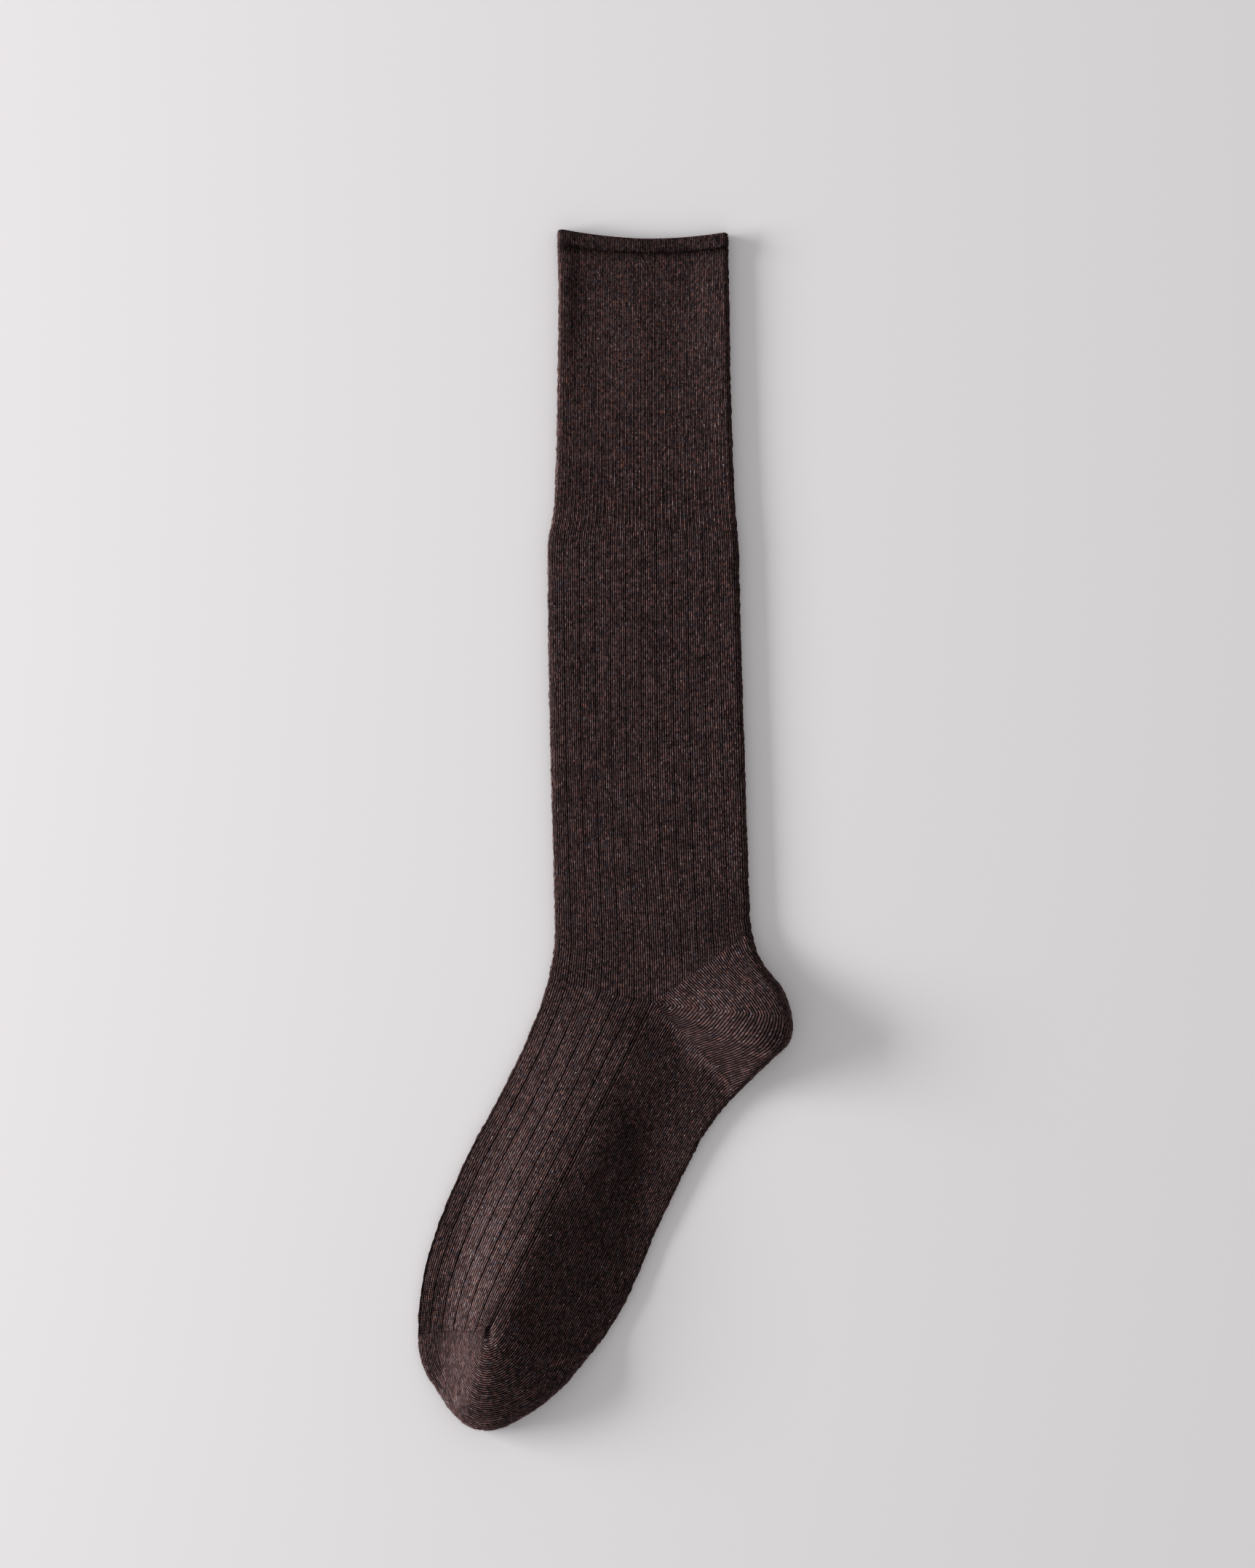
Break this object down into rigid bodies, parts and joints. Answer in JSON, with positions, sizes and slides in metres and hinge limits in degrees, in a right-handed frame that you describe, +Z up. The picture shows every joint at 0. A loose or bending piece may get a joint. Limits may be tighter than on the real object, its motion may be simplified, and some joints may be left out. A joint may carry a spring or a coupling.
{
  "type": "slouch sock",
  "caption": "Knee-high knitted sock lying flat on its side, hollow and open at the welt, with dropped-stitch ribs, a turned welt, a heel pocket and a toe pocket.",
  "frame": {"origin": "under the middle of the sock's box, on the surface it lies on", "axes": "+Y up the leg towards the welt and the mouth, +X towards the heel's side, +Z up out of the surface, through the sock's two faces"},
  "size_m": [0.159, 0.51, 0.0136],
  "materials": {
    "welt_yarn": "dark aubergine marled yarn, knitted double",
    "cuff_yarn": "dark aubergine marled yarn, close knit",
    "leg_yarn": "dark aubergine marled yarn with dropped-stitch ribs",
    "heel_yarn": "dark aubergine marled yarn, plain knit",
    "foot_yarn": "dark aubergine marled yarn, ribbed instep and plain sole",
    "toe_yarn": "dark aubergine marled yarn, plain knit"
  },
  "bodies": {
    "root": {"welt": "welt_yarn", "cuff": "cuff_yarn", "leg": "leg_yarn", "heel": "heel_yarn", "foot": "foot_yarn", "toe": "toe_yarn"}
  },
  "joints": []
}
